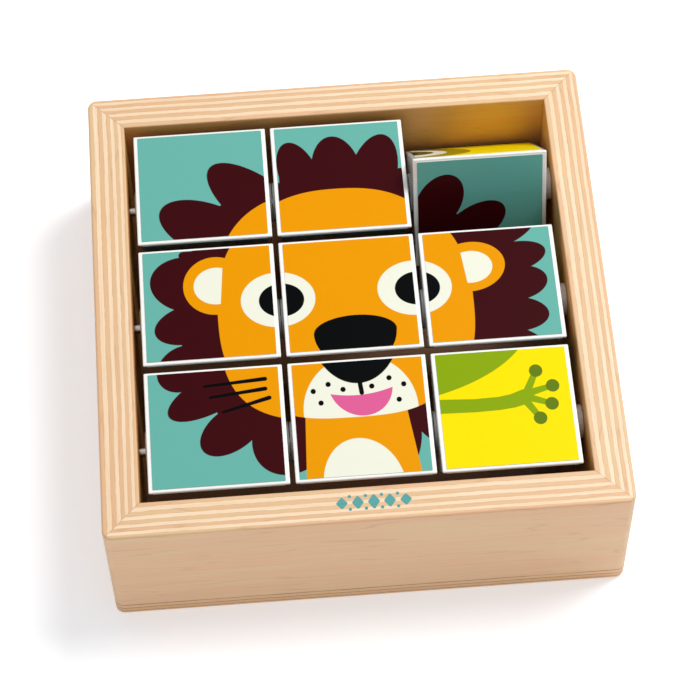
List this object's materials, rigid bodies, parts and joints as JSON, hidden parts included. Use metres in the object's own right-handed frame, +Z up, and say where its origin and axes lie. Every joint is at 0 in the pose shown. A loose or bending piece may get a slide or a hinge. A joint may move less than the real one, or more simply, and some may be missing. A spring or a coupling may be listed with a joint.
{
  "type": "turning block puzzle",
  "caption": "Square plywood tray with three-sided picture blocks that turn on steel rods to make up one of three pictures.",
  "frame": {"origin": "centre of the underside of the base panel, on the surface that the tray stands on", "axes": "+X along the rods to the right, +Y from the front row to the back row, +Z up, out of the tray's open top"},
  "size_m": [0.166, 0.1662, 0.0655],
  "materials": {
    "base_plywood": "satin lacquered birch plywood",
    "wall_plywood": "satin lacquered birch plywood",
    "rod_steel": "bright drawn steel",
    "bush_nylon": "natural nylon",
    "block_white": "white gloss lacquer on wood",
    "lion_print": "glossy printed sheet",
    "frog_print": "glossy printed sheet",
    "fish_print": "glossy printed sheet"
  },
  "bodies": {
    "tray": {"base_panel": "base_plywood", "front_wall": "wall_plywood", "back_wall": "wall_plywood", "left_wall": "wall_plywood", "right_wall": "wall_plywood", "rod_front": "rod_steel", "rod_middle": "rod_steel", "rod_back": "rod_steel", "spacer_ring_front": "bush_nylon", "spacer_ring_middle": "bush_nylon", "spacer_ring_back": "bush_nylon"},
    "turner_front_left": {"block_front_left": "block_white", "bushes_front_left": "bush_nylon", "lion_front_left": "lion_print", "frog_front_left": "frog_print", "fish_front_left": "fish_print"},
    "turner_front_centre": {"block_front_centre": "block_white", "bushes_front_centre": "bush_nylon", "lion_front_centre": "lion_print", "frog_front_centre": "frog_print", "fish_front_centre": "fish_print"},
    "turner_front_right": {"block_front_right": "block_white", "bushes_front_right": "bush_nylon", "lion_front_right": "lion_print", "frog_front_right": "frog_print", "fish_front_right": "fish_print"},
    "turner_middle_left": {"block_middle_left": "block_white", "bushes_middle_left": "bush_nylon", "lion_middle_left": "lion_print", "frog_middle_left": "frog_print", "fish_middle_left": "fish_print"},
    "turner_middle_centre": {"block_middle_centre": "block_white", "bushes_middle_centre": "bush_nylon", "lion_middle_centre": "lion_print", "frog_middle_centre": "frog_print", "fish_middle_centre": "fish_print"},
    "turner_middle_right": {"block_middle_right": "block_white", "bushes_middle_right": "bush_nylon", "lion_middle_right": "lion_print", "frog_middle_right": "frog_print", "fish_middle_right": "fish_print"},
    "turner_back_left": {"block_back_left": "block_white", "bushes_back_left": "bush_nylon", "lion_back_left": "lion_print", "frog_back_left": "frog_print", "fish_back_left": "fish_print"},
    "turner_back_centre": {"block_back_centre": "block_white", "bushes_back_centre": "bush_nylon", "lion_back_centre": "lion_print", "frog_back_centre": "frog_print", "fish_back_centre": "fish_print"},
    "turner_back_right": {"block_back_right": "block_white", "bushes_back_right": "bush_nylon", "lion_back_right": "lion_print", "frog_back_right": "frog_print", "fish_back_right": "fish_print"}
  },
  "joints": [
    {"name": "turn_front_left", "type": "hinge", "parent": "tray", "child": "turner_front_left", "pos_m": [-0.046, -0.04601, 0.0408], "axis": [-1, 0, 0], "continuous": true},
    {"name": "turn_front_centre", "type": "hinge", "parent": "tray", "child": "turner_front_centre", "pos_m": [0, -0.04601, 0.0408], "axis": [-1, 0, 0], "continuous": true},
    {"name": "turn_front_right", "type": "hinge", "parent": "tray", "child": "turner_front_right", "pos_m": [0.046, -0.04601, 0.0408], "axis": [-1, 0, 0], "continuous": true},
    {"name": "turn_middle_left", "type": "hinge", "parent": "tray", "child": "turner_middle_left", "pos_m": [-0.046, 0, 0.0408], "axis": [-1, 0, 0], "continuous": true},
    {"name": "turn_middle_centre", "type": "hinge", "parent": "tray", "child": "turner_middle_centre", "pos_m": [0, 0, 0.0408], "axis": [-1, 0, 0], "continuous": true},
    {"name": "turn_middle_right", "type": "hinge", "parent": "tray", "child": "turner_middle_right", "pos_m": [0.046, 0, 0.0408], "axis": [-1, 0, 0], "continuous": true},
    {"name": "turn_back_left", "type": "hinge", "parent": "tray", "child": "turner_back_left", "pos_m": [-0.046, 0.04601, 0.0408], "axis": [-1, 0, 0], "continuous": true},
    {"name": "turn_back_centre", "type": "hinge", "parent": "tray", "child": "turner_back_centre", "pos_m": [0, 0.04601, 0.0408], "axis": [-1, 0, 0], "continuous": true},
    {"name": "turn_back_right", "type": "hinge", "parent": "tray", "child": "turner_back_right", "pos_m": [0.046, 0.04601, 0.0408], "axis": [-1, 0, 0], "continuous": true}
  ]
}
